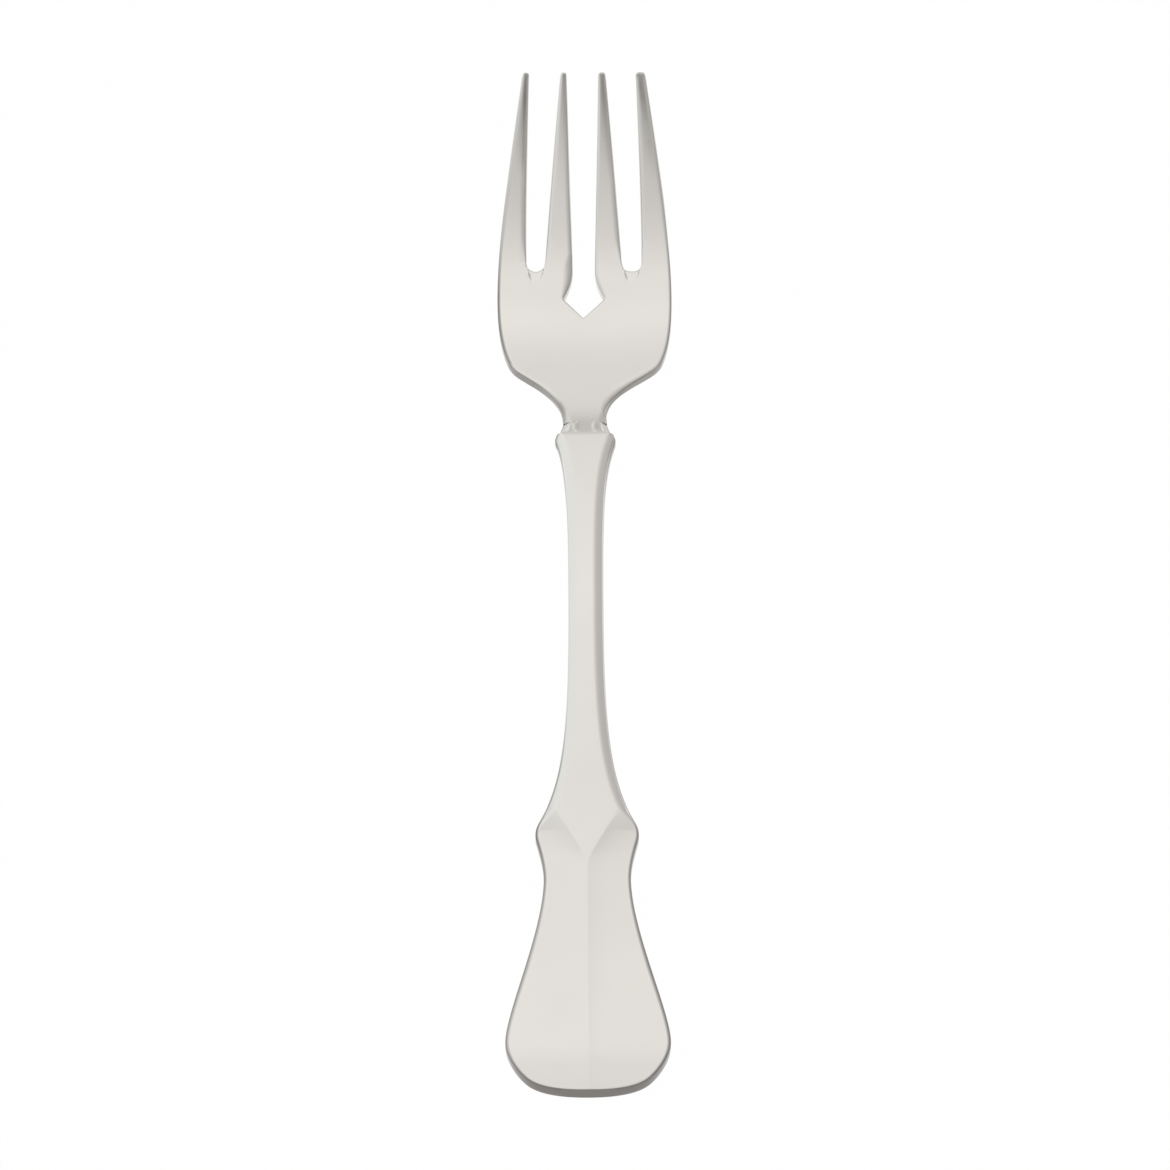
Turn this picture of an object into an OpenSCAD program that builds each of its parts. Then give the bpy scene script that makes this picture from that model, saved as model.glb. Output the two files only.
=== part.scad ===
// Fish fork with a fiddle-shaped handle, lying on its back with the tines up.
// Millimetres, +Z up, +Y from the heel of the handle to the tine tips, +X to the right.
// Stations along the fork are measured from the heel, and those of the head from the seam.

/* [Handle outline] */
// Length of the handle, from the heel to the seam with the head
handle_l = 121.8; // [112:0.2:135]
// Greatest width near the heel
heel_w = 26.7; // [22:0.2:30]
// Where the heel is widest
heel_at = 8.8; // [8:0.1:12]
// Width at the turn from the heel's end to its sides
heel_turn_w = 19.8; // [18:0.2:21]
// Where that turn is
heel_turn_at = 2.3; // [2:0.1:2.8]
// Width of the waist between the heel and the wings
waist_w = 14.2; // [12:0.2:16]
// Where the waist is
waist_at = 37.6; // [33:0.2:40]
// Width over the two wings
wing_w = 17.5; // [16.2:0.1:20]
// Where the wings point out
wing_at = 45.8; // [43:0.2:47]
// Width of the stem at its narrowest
stem_w = 5.7; // [5.4:0.1:6.6]
// Where the stem is narrowest
stem_at = 86; // [80:1:92]
// Width over the collar at the top of the stem
collar_w = 10.4; // [9:0.2:12]
// How far the collar's widest point lies behind the seam
collar_back = 3.8; // [3.2:0.1:5]
// Width where handle and head meet
neck_w = 7.2; // [6.6:0.1:8.4]

/* [Handle curves] */
// Pull of the outline along the heel's end
heel_end_pull = 5.8; // [5.5:0.1:8]
// Spread of the outline at the turn of the heel, in mm per mm
heel_turn_rise = 1.2; // [1:0.05:1.4]
// Pull of the outline at that turn, along the fork
heel_turn_pull = 1.15; // [0.8:0.05:1.4]
// Pull of the outline along the heel's side, towards the end
heel_side_pull = 2.5; // [1.8:0.1:3.2]
// Pull of the outline along the heel's side, towards the waist
heel_waist_pull = 5.4; // [4:0.1:8]
// Pull of the outline at the waist, towards the heel
waist_pull = 8.6; // [6:0.1:10]
// Rise of the outline into the wings, in mm per mm
wing_rise = 0.28; // [0.2:0.01:0.4]
// Fall of the outline from the wings to the stem, in mm per mm
wing_fall = 0.6; // [0.5:0.01:0.64]
// Pull of that fall
wing_fall_pull = 8; // [7:0.1:9]
// Pull of the outline along the stem
stem_pull = 24; // [18:0.5:28]
// Rise of the outline into the collar, in mm per mm
collar_rise = 0.34; // [0.25:0.01:0.45]
// Pull of that rise
collar_pull = 6.6; // [5:0.1:8]
// Pull of the outline from the collar into the cove
cove_pull = 1.8; // [1.2:0.1:2.4]
// Pull of the outline at the seam
seam_pull = 1.4; // [1:0.1:1.8]

/* [Head outline] */
// Length of the head, from the seam to the tine tips
head_l = 63.6; // [58:0.2:72]
// Length of the straight neck ahead of the seam
neck_l = 1.2; // [0.8:0.1:1.8]
// Width over the lower corners of the blade
corner_w = 24.3; // [20:0.2:26]
// Where those corners are
corner_at = 11.4; // [10.4:0.1:12]
// Greatest width of the blade
head_w = 29.6; // [27:0.2:33]
// Where the blade is widest
head_at = 25.4; // [23.4:0.2:28.4]
// Width over the outer tines at their tips
tips_w = 20.8; // [20:0.1:22]
// Share of the narrowing to the tips that the outer tines have made half way
tine_lean = 0.28; // [0.15:0.01:0.45]
// Spread of the shoulders below the corners, in mm per mm
shoulder_rise = 1.32; // [1.1:0.02:1.5]
// Length of the straight part of the shoulders, along the fork
shoulder_l = 2.8; // [2:0.1:3.6]
// Pull of the curve between the neck and that straight part, at its lower end
neck_pull = 2.8; // [2:0.1:3.6]
// Pull of that curve at its upper end
shoulder_pull = 2.4; // [1.6:0.1:2.8]
// Spread of the sides above the corners, in mm per mm
side_rise = 0.6; // [0.4:0.02:0.8]
// Pull of the sides above the corners
side_pull = 2.4; // [1.6:0.1:3.2]

/* [Tines] */
// Root of the two outer slots
root_at = 30.7; // [29.4:0.1:33]
// Width of the outer slots at the root
slot_w = 3.2; // [2.6:0.1:3.6]
// Width of the outer slots at the tips
slot_tip_w = 5.3; // [4.8:0.1:5.4]
// Distance of the outer slots from the middle, at the root
slot_x = 8.2; // [7.8:0.1:8.6]
// Distance of the outer slots from the middle, at the tips
slot_tip_x = 6.6; // [6.4:0.05:6.7]
// Bend of the outer slots: 1 is straight, and more keeps them apart for longer
slot_bend = 1.35; // [1:0.05:1.6]
// Width of the middle slot above its notch
mid_w = 3.8; // [3:0.1:4.4]
// Width of the middle slot at the tips
mid_tip_w = 5.6; // [5:0.1:5.8]
// Width of the diamond notch at the foot of the middle slot
notch_w = 6.8; // [5.8:0.1:7.6]
// Where the notch comes to its point
notch_at = 22; // [20.4:0.1:23.4]
// Where the notch is widest
notch_mid_at = 25.5; // [25:0.1:26.4]
// Where the notch runs into the straight slot
notch_top_at = 29.2; // [28.4:0.1:30.4]
// Length of the scoop that runs out of each outer slot's root
scoop_l = 2.2; // [1.4:0.1:3]
// Length of the rounded end of each tine
tip_round = 0.7; // [0.4:0.05:1]

/* [Side profile] */
// Length of the flat rest under the heel
rest_l = 20; // [14:1:26]
// Height of the arch under the stem
arch_h = 5; // [4:0.25:10]
// Height of the underside at the seam
seam_h = 2.75; // [2:0.25:5.5]
// Slope of the underside at the seam, in mm per mm
seam_slope = 0.15; // [0.1:0.01:0.25]
// Where the belly of the head rests on the table
belly_at = 21.5; // [19:0.5:25]
// Height of the underside at the tips
tip_h = 13; // [8:0.2:15]
// Slope of the underside at the tips, in mm per mm
tip_slope = 0.5; // [0.35:0.01:0.6]

/* [Thickness] */
// Thickness of the handle at the heel
heel_t = 3; // [2.2:0.05:3.2]
// Thickness of the stem
stem_t = 3.3; // [3:0.05:3.8]
// Thickness of the handle at the collar
collar_t = 3.4; // [3.2:0.05:4.2]
// Thickness of both pieces at the seam
neck_t = 2.6; // [2.4:0.05:3]
// Taper of the thickness at the seam, in mm per mm
neck_taper = 0.1; // [0:0.01:0.12]
// Thickness of the blade
blade_t = 2.4; // [1.8:0.05:2.5]
// Thickness of the tines at their tips
tip_t = 1.3; // [1:0.05:1.6]

/* [Facets] */
// Width of the bevels along the stem
bevel_w = 1.45; // [1:0.05:1.7]
// Slope of those bevels below the flat of the stem
bevel_deg = 35; // [25:1:45]
// Where the flat of the stem is widest, above the wings
flat_at = 49.8; // [48:0.2:52]
// Where that flat has narrowed to a point
flat_end_at = 40.8; // [39:0.2:42]
// Height of the ridge along the heel over its edges
ridge_h = 0.55; // [0.2:0.05:0.8]
// Length of the hollow cove between the collar's top and the seam
cove_l = 2.9; // [2.4:0.1:3.1]
// Slope of the cove where it leaves the collar's top, in mm per mm
cove_slope = 0.3; // [0.2:0.05:0.9]
// How far the bevels draw back at the corners of the collar's top
collar_draw = 1; // [0:0.05:1.1]
// Length over which they draw back
collar_draw_l = 1.4; // [1:0.1:2.4]
// Where the neck's bevels have run out into the blade
bevel_end_at = 7; // [5:0.2:9]
// Softening of the edges of the blade and the underside
edge_r = 0.4; // [0.2:0.05:0.5]
// Softening of the tine edges at the tips
tine_edge_r = 0.42; // [0.3:0.02:0.46]

/* [Joint] */
// Width of the tang that the head has in the handle
tang_w = 4; // [3:0.1:4.2]
// Thickness of the tang
tang_t = 1.3; // [1:0.05:1.5]
// Length of the tang behind the seam
tang_l = 14; // [10:0.5:16]
// Solder gap round the tang
solder_gap = 0.1; // [0.05:0.01:0.15]
// Solder gap at the end of the tang
solder_end = 0.4; // [0.2:0.05:0.8]

/* [Hidden] */
silver = [0.87, 0.86, 0.83];
solder_tone = [0.74, 0.72, 0.68];
overall_l = handle_l + head_l;
// Steps along each curve, and along the tines
steps = 12;
tine_steps = 18;
// Reach of cutting bodies beyond the faces that they cut
past = 2;
// Half width of the blunt starts of the notch, the slots and the scoops
blunt = 0.12;
// Half width at which the outline of the heel starts, as a blunt end
heel_blunt = 0.9;
// Share of the tine's thickness that each side gives up at the rounded end
tip_close = 0.4;

collar_at = handle_l - collar_back;
cove_at = handle_l - cove_l;
tip_start = overall_l - tip_round;

// Stations of the underside and of the thickness: place, value, slope
back_line = [
    [0, 0, 0],
    [rest_l, 0, 0],
    [stem_at, arch_h, 0],
    [handle_l, seam_h, -seam_slope],
    [handle_l + belly_at, 0, 0],
    [overall_l, tip_h, tip_slope]
];
handle_thick = [
    [0, heel_t, 0],
    [waist_at, heel_t, 0],
    [stem_at, stem_t, 0],
    [cove_at, collar_t, 0]
];
cove_thick = [
    [cove_at, collar_t, -cove_slope],
    [handle_l, neck_t, -neck_taper]
];
head_thick = [
    [handle_l, neck_t, -neck_taper],
    [handle_l + corner_at, blade_t, 0],
    [handle_l + root_at, blade_t, 0],
    [overall_l, tip_t, 0]
];

function hermite(a, b, u) =
    let (h = b[0] - a[0], t = (u - a[0]) / h)
    (2 * t ^ 3 - 3 * t ^ 2 + 1) * a[1] + (t ^ 3 - 2 * t ^ 2 + t) * h * a[2]
    + (3 * t ^ 2 - 2 * t ^ 3) * b[1] + (t ^ 3 - t ^ 2) * h * b[2];
function along(knots, u, i = 0) =
    i >= len(knots) - 2 || u <= knots[i + 1][0]
    ? hermite(knots[i], knots[i + 1], u)
    : along(knots, u, i + 1);
function bezier(p, t) =
    (1 - t) ^ 3 * p[0] + 3 * t * (1 - t) ^ 2 * p[1]
    + 3 * t ^ 2 * (1 - t) * p[2] + t ^ 3 * p[3];
// Points of a curve without its last, which the next curve starts with
function curve(p, n = steps) = [for (i = [0:n - 1]) bezier(p, i / n)];
function share(u, from, to) = min(1, max(0, (u - from) / (to - from)));

function back(u) = along(back_line, u);
function handle_top(u) =
    back(u) + (u < cove_at ? along(handle_thick, u) : hermite(cove_thick[0], cove_thick[1], u));
function head_top(u) = back(u) + along(head_thick, u);
function handle_mid(u) = (back(u) + handle_top(u)) / 2;

// Half outline of the handle, as places along the fork and half widths
handle_side = concat(
    [for (p = curve([
        [0, 0],
        [0, heel_end_pull],
        [heel_turn_at - heel_turn_pull, heel_turn_w / 2 - heel_turn_rise * heel_turn_pull],
        [heel_turn_at, heel_turn_w / 2]
    ])) if (p[1] > heel_blunt) p],
    curve([
        [heel_turn_at, heel_turn_w / 2],
        [heel_turn_at + heel_turn_pull, heel_turn_w / 2 + heel_turn_rise * heel_turn_pull],
        [heel_at - heel_side_pull, heel_w / 2],
        [heel_at, heel_w / 2]
    ]),
    curve([
        [heel_at, heel_w / 2],
        [heel_at + heel_waist_pull, heel_w / 2],
        [waist_at - waist_pull, waist_w / 2],
        [waist_at, waist_w / 2]
    ]),
    curve([
        [waist_at, waist_w / 2],
        [(2 * waist_at + wing_at) / 3, waist_w / 2],
        [(waist_at + 2 * wing_at) / 3, wing_w / 2 - wing_rise * (wing_at - waist_at) / 3],
        [wing_at, wing_w / 2]
    ]),
    curve([
        [wing_at, wing_w / 2],
        [wing_at + wing_fall_pull, wing_w / 2 - wing_fall * wing_fall_pull],
        [stem_at - stem_pull, stem_w / 2],
        [stem_at, stem_w / 2]
    ], 2 * steps),
    curve([
        [stem_at, stem_w / 2],
        [(stem_at + collar_at) / 2, stem_w / 2],
        [collar_at - collar_pull, collar_w / 2 - collar_rise * collar_pull],
        [collar_at, collar_w / 2]
    ]),
    curve([
        [collar_at, collar_w / 2],
        [collar_at + cove_pull, (collar_w + neck_w) / 4],
        [handle_l - seam_pull, neck_w / 2],
        [handle_l, neck_w / 2]
    ]),
    [[handle_l, neck_w / 2]]
);

// Half outline of the head over its outer tines
neck_u = handle_l + neck_l;
corner_u = handle_l + corner_at;
shoulder_u = corner_u - shoulder_l;
shoulder_half = corner_w / 2 - shoulder_rise * shoulder_l;
head_u = handle_l + head_at;
head_side = concat(
    [[handle_l, neck_w / 2]],
    curve([
        [neck_u, neck_w / 2],
        [neck_u + neck_pull, neck_w / 2],
        [shoulder_u - shoulder_pull, shoulder_half - shoulder_rise * shoulder_pull],
        [shoulder_u, shoulder_half]
    ]),
    [[shoulder_u, shoulder_half]],
    curve([
        [corner_u, corner_w / 2],
        [corner_u + side_pull, corner_w / 2 + side_rise * side_pull],
        [(corner_u + head_u) / 2, head_w / 2],
        [head_u, head_w / 2]
    ]),
    curve([
        [head_u, head_w / 2],
        [(3 * head_u + overall_l) / 4, head_w / 2],
        [(head_u + overall_l) / 2, head_w / 2 - tine_lean * (head_w - tips_w) / 2],
        [overall_l, tips_w / 2]
    ], tine_steps),
    [[overall_l, tips_w / 2]]
);

// How far a tine has closed in towards its own middle, from 1 to 0 at the very end
function tip_share(u) = u <= tip_start ? 1 : sqrt(max(0, 1 - ((u - tip_start) / tip_round) ^ 2));
tip_places = [for (a = [0:20:80]) tip_start + tip_round * sin(a)];
outer_tine_w = tips_w / 2 - slot_tip_x - slot_tip_w / 2;
inner_tine_w = slot_tip_x - slot_tip_w / 2 - mid_tip_w / 2;

// One cross section: a flat of half width f, a facet to half width w - b that falls by d,
// and a bevel of width b that falls by e, over a flat back with softened edges
function section(u, w, f, b, d, e, top, bottom, r) =
    let (y = u - overall_l / 2, half = [
        [f, top],
        [w - b, top - d],
        [w, top - d - e],
        [w, bottom + r],
        [w - r, bottom]
    ])
    concat(
        [for (p = half) [p[0], y, p[1]]],
        [for (i = [len(half) - 1:-1:0]) [-half[i][0], y, half[i][1]]]
    );

// Skin over a row of sections with equal numbers of points
module loft(rings) {
    n = len(rings[0]);
    m = len(rings);
    sides = [
        for (j = [0:m - 2], i = [0:n - 1])
        let (a = j * n + i, b = j * n + (i + 1) % n)
        each [[a, b + n, b], [a, a + n, b + n]]
    ];
    start = [for (i = [1:n - 2]) [0, i, i + 1]];
    end = [for (i = [1:n - 2]) [(m - 1) * n, (m - 1) * n + i + 1, (m - 1) * n + i]];
    polyhedron([for (r = rings) each r], concat(sides, start, end));
}

// The stem's bevels run out at the wings, and its flat narrows to a point between them
function stem_bevel(u) =
    edge_r + (bevel_w - edge_r) * share(u, wing_at, flat_at)
    - collar_draw * (u < cove_at ? share(u, cove_at - collar_draw_l, cove_at) : share(u, handle_l, cove_at));
function stem_flat(u, w) =
    u >= flat_at ? w - stem_bevel(u) : share(u, flat_end_at, flat_at) * (lookup(flat_at, handle_side) - bevel_w);
// Fall of the two facets beside the flat or the ridge
function facet_fall(u, w) = ridge_h * max(0, w - stem_bevel(u) - stem_flat(u, w)) / (heel_w / 2);

module handle_body() {
    loft([
        for (p = handle_side)
        let (u = p[0], w = p[1], b = stem_bevel(u))
        section(
            u, w, stem_flat(u, w), b, facet_fall(u, w), b * tan(bevel_deg),
            handle_top(u), back(u), edge_r
        )
    ]);
}

// The neck's bevels shrink to the softened edge of the blade
function neck_bevel(u) = bevel_w + (edge_r - bevel_w) * share(u, handle_l, handle_l + bevel_end_at);
function neck_fall(u) =
    let (full = bevel_w * tan(bevel_deg))
    full + (edge_r - full) * share(u, handle_l, handle_l + bevel_end_at);
// The tine ends close in from above and below as well
function tip_fall(u) = tip_t * tip_close * (1 - tip_share(u));
function tine_top(u) = head_top(u) - tip_fall(u);
function tine_back(u) = back(u) + tip_fall(u);

module blade() {
    places = concat(
        [for (p = head_side) if (p[0] < tip_start - tip_round / 2) p],
        [for (u = tip_places) [u, lookup(u, head_side) - outer_tine_w / 2 * (1 - tip_share(u))]]
    );
    loft([
        for (p = places)
        let (u = p[0], w = p[1], b = neck_bevel(u) * tip_share(u))
        section(u, w, w - b, b, 0, neck_fall(u) * tip_share(u), tine_top(u), tine_back(u), edge_r * tip_share(u))
    ]);
}

// Softening of the tine edges, which grows from the roots to the tips
function tine_edge(u) = tip_share(u) * (edge_r + (tine_edge_r - edge_r) * share(u, root_u, overall_l));

// Middle and half width of an outer slot, with its round root and the round ends of the tines
root_u = handle_l + root_at;
root_r = slot_w / 2;
function slot_mid(u) =
    slot_x + (slot_tip_x - slot_x) * share(u, root_u, overall_l) ^ slot_bend
    + (1 - tip_share(u)) * (outer_tine_w - inner_tine_w) / 4;
function slot_half(u) =
    (u < root_u + root_r
        ? max(blunt, sqrt(max(0, root_r ^ 2 - (root_u + root_r - u) ^ 2)))
        : root_r + (slot_tip_w - slot_w) / 2 * share(u, root_u + root_r, overall_l))
    + (1 - tip_share(u)) * (outer_tine_w + inner_tine_w) / 4;
function mid_half(u) =
    mid_w / 2 + (mid_tip_w - mid_w) / 2 * share(u, handle_l + notch_top_at, overall_l)
    + (1 - tip_share(u)) * inner_tine_w / 2;
function spread(from, to, n) = [for (i = [0:n]) from + (to - from) * i / n];
tip_ends = concat([for (i = [1:len(tip_places) - 1]) tip_places[i]], [overall_l + past]);

// Rows of place, middle and half width that the slots are cut along
outer_row = [
    for (u = concat(
        [for (a = [0:18:72]) root_u + root_r * (1 - cos(a))],
        spread(root_u + root_r, tip_start, tine_steps),
        tip_ends
    ))
    [u, slot_mid(u), slot_half(u)]
];
mid_row = concat(
    [
        [handle_l + notch_at, 0, blunt],
        [handle_l + notch_mid_at, 0, notch_w / 2]
    ],
    [
        for (u = concat(spread(handle_l + notch_top_at, tip_start, tine_steps), tip_ends))
        [u, 0, mid_half(u)]
    ]
);

// Corners of an upright plate across the fork at u, about x: half width w at height z, v at height h
function plate(u, x, w, z, v, h) =
    let (y = u - overall_l / 2)
    [[x - w, y, z], [x + w, y, z], [x + v, y, h], [x - v, y, h]];
function wall(k) = plate(k[0], k[1], k[2], tine_back(k[0]) - past, k[2], tine_top(k[0]) + past);
function upper_lip(k) =
    let (r = tine_edge(k[0]), top = tine_top(k[0]))
    plate(k[0], k[1], k[2], top - r, k[2] + r + past, top + past);
function lower_lip(k) =
    let (r = tine_edge(k[0]), bottom = tine_back(k[0]))
    plate(k[0], k[1], k[2] + r + past, bottom - past, k[2], bottom + r);

// Block between two such plates
module block(a, b) {
    hull()
    polyhedron(
        concat(a, b),
        [[0, 1, 2, 3], [7, 6, 5, 4], [4, 5, 1, 0], [5, 6, 2, 1], [6, 7, 3, 2], [7, 4, 0, 3]]
    );
}

// One cut through the head: straight walls, and flared lips that soften the edges of the tines
module slot_cut(row) {
    for (i = [0:len(row) - 2]) {
        block(wall(row[i]), wall(row[i + 1]));
        block(upper_lip(row[i]), upper_lip(row[i + 1]));
        block(lower_lip(row[i]), lower_lip(row[i + 1]));
    }
}

// Groove that falls from the face of the blade into the root of an outer slot
module scoop() {
    start = root_u - scoop_l;
    end = root_u + root_r;
    block(
        plate(start, slot_x, blunt, tine_top(start), root_r / 2, tine_top(start) + past),
        plate(end, slot_x, root_r / 2, tine_back(end), root_r, tine_top(end) + past)
    );
}

// The tang lies along the middle of the handle's thickness, behind the seam
tang_tilt = atan2(handle_mid(handle_l - tang_l) - handle_mid(handle_l), tang_l);
module tang_bar(gap, end_gap) {
    translate([0, handle_l - overall_l / 2, handle_mid(handle_l)])
    rotate([-tang_tilt, 0, 0])
    translate([-tang_w / 2 - gap, -tang_l - end_gap, -tang_t / 2 - gap])
    cube([tang_w + 2 * gap, tang_l + end_gap + neck_l, tang_t + 2 * gap]);
}

module handle() {
    color(silver)
    difference() {
        handle_body();
        tang_bar(solder_gap, solder_end);
    }
}

module fork_head() {
    color(silver)
    union() {
        difference() {
            blade();
            slot_cut(mid_row);
            for (side = [0, 1]) {
                mirror([side, 0, 0]) {
                    slot_cut(outer_row);
                    scoop();
                }
            }
        }
        tang_bar(0, 0);
    }
}

module solder_film() {
    color(solder_tone)
    difference() {
        tang_bar(solder_gap, solder_end);
        tang_bar(0, 0);
        translate([-collar_w, handle_l - overall_l / 2, 0])
        cube([2 * collar_w, head_l, 2 * collar_w]);
    }
}

handle();
fork_head();
solder_film();
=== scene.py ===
import math

import bpy
import bmesh
import numpy as np
from mathutils import Matrix, Vector
from mathutils.geometry import delaunay_2d_cdt


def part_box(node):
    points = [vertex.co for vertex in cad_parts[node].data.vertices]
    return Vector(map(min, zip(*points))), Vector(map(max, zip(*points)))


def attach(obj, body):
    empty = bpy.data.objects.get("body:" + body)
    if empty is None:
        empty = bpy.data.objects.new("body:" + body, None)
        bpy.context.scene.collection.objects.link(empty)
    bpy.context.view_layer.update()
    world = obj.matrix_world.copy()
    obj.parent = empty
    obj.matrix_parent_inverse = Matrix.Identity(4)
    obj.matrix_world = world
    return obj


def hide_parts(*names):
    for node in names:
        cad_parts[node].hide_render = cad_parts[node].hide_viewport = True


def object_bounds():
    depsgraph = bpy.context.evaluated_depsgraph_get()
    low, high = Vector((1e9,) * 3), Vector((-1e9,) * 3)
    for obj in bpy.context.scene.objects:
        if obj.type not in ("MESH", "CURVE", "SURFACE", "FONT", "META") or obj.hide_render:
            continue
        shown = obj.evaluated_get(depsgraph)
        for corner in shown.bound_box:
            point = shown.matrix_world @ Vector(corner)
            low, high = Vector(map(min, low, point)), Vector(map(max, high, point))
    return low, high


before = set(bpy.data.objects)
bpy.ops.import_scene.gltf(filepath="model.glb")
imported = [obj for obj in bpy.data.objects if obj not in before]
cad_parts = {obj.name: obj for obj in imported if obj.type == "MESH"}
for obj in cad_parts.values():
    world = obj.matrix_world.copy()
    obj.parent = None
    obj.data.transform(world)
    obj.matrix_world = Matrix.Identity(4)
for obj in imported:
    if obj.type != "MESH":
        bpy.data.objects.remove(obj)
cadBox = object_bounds()
mm = 0.001  # the shapes below are in millimetres
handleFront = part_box("handle")[1].y / mm
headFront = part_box("fork_head")[1].y / mm
print("frame loaded:", ", ".join(sorted(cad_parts)))

# side view of the whole fork: stations along it from the heel, heights over the table
forkProfile = {
    "handleLong": 121.8,
    "restLong": 20.0,        # flat under the heel
    "stemAt": 86.0,          # top of the arch
    "archHigh": 5.0,
    "seamHigh": 2.75,
    "seamSlope": 0.15,
    "bellyAt": 21.5,         # from the seam
    "tipHigh": 13.0,
    "tipSlope": 0.5,
    "neckThick": 2.6,
    "neckTaper": 0.22,
    "neckWide": 7.35,
    "bevelWide": 1.3,
    "bevelSlope": 0.7,
}
seamAt = forkProfile["handleLong"]
tipAt = seamAt + headFront - handleFront
heelY = handleFront - seamAt
backLine = [  # station, height and slope of the underside
    (0, 0, 0),
    (forkProfile["restLong"], 0, 0),
    (forkProfile["stemAt"], forkProfile["archHigh"], 0),
    (seamAt, forkProfile["seamHigh"], -forkProfile["seamSlope"]),
    (seamAt + forkProfile["bellyAt"], 0, 0),
    (tipAt, forkProfile["tipHigh"], forkProfile["tipSlope"]),
]


def hermite(a, b, u):
    span = b[0] - a[0]
    t = (u - a[0]) / span
    return ((2 * t**3 - 3 * t**2 + 1) * a[1] + (t**3 - 2 * t**2 + t) * span * a[2]
            + (3 * t**2 - 2 * t**3) * b[1] + (t**3 - t**2) * span * b[2])


def along(knots, u):  # smooth line through knots of station, height and slope
    for a, b in zip(knots, knots[1:]):
        if u <= b[0] or b is knots[-1]:
            return hermite(a, b, u)


def underside(u):
    return along(backLine, u)


def lookUp(knots, u):  # straight stretches between knots of station and value
    return float(np.interp(u, [k[0] for k in knots], [k[1] for k in knots]))


def spaced(start, end, n):
    return [start + (end - start) * i / n for i in range(n + 1)]


def quarterTurn(n):
    return spaced(0, math.pi / 2, n)


def share(u, start, end):
    return min(1.0, max(0.0, (u - start) / (end - start)))


def smoothShare(u, start, end):
    t = share(u, start, end)
    return t * t * (3 - 2 * t)


def hinge(t, soft):  # 0 below the crease, t above it, eased over soft
    if abs(t) < soft:
        return (t + soft)**2 / (4 * soft)
    return max(0.0, t)


def curve(p0, p1, p2, p3, n):  # Bezier points without the last
    out = []
    for i in range(n):
        t = i / n
        k = ((1 - t)**3, 3 * t * (1 - t)**2, 3 * t**2 * (1 - t), t**3)
        out.append(tuple(sum(w * p[c] for w, p in zip(k, (p0, p1, p2, p3))) for c in (0, 1)))
    return out


def eased(path, corner, reach, n=10):  # rounds the path where it turns at corner
    mid = min(range(len(path)), key=lambda i: math.dist(path[i][:2], corner))
    lo = hi = mid
    while lo > 0 and math.dist(path[lo][:2], corner) < reach:
        lo -= 1
    while hi < len(path) - 1 and math.dist(path[hi][:2], corner) < reach:
        hi += 1
    a, b, c = path[lo], path[hi], path[mid]
    bend = []
    for i in range(1, n):
        t = i / n
        bend.append(tuple((1 - t)**2 * p + 2 * t * (1 - t) * q + t * t * r for p, q, r in zip(a, c, b)))
    return path[:lo + 1] + bend + path[hi:]


def inward(path, first, last, sharpest=0.6):  # normals to the left of the path, lengthened at corners
    out = []
    for i, p in enumerate(path):
        back, on = path[max(0, i - 1)], path[min(len(path) - 1, i + 1)]
        before = Vector((p[0] - back[0], p[1] - back[1]))
        after = Vector((on[0] - p[0], on[1] - p[1]))
        before = before.normalized() if before.length else after.normalized()
        after = after.normalized() if after.length else before
        tangent = (before + after).normalized()
        stretch = 1 / max(sharpest, tangent.dot(after))
        out.append(Vector((-tangent.y, tangent.x)) * stretch)
    out[0] = Vector(first)
    out[-1] = Vector(last)
    return out


def squareTurn(a, power):  # across and up on a half circle, squarer below a power of 1 and pointed above
    return math.copysign(abs(math.cos(a))**power, math.cos(a)), math.sin(a)**power


def rimWidth(n, wide, endWide, power=1.5):  # edges that face the heel have a width of their own
    return wide + (endWide - wide) * max(0.0, n.y)**power


meshSetup = {"weldWithin": 0.00002, "sharpFrom": 50.0}  # millimetres, degrees


def makeObject(name, verts, faces, tones):  # verts in millimetres from the heel
    mesh = bpy.data.meshes.new(name)
    mesh.from_pydata([(x * mm, (u + heelY) * mm, z * mm) for x, u, z in verts], [], faces)
    # per point, how much painted shade (dark reflections painted on edges, creases and tines) the silver
    # gets
    toneLayer = mesh.attributes.new("paintedEdgeShade", "FLOAT", "POINT")
    toneLayer.data.foreach_set("value", tones)
    obj = bpy.data.objects.new(name, mesh)
    bpy.context.scene.collection.objects.link(obj)
    build = bmesh.new()
    build.from_mesh(mesh)
    bmesh.ops.remove_doubles(build, verts=build.verts, dist=meshSetup["weldWithin"] * mm)
    bmesh.ops.recalc_face_normals(build, faces=build.faces)
    build.to_mesh(mesh)
    build.free()
    mesh.shade_smooth()
    mesh.set_sharp_from_angle(angle=math.radians(meshSetup["sharpFrom"]))
    weighted = obj.modifiers.new("evenShading", "WEIGHTED_NORMAL")
    weighted.keep_sharp = True
    return obj


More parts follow.
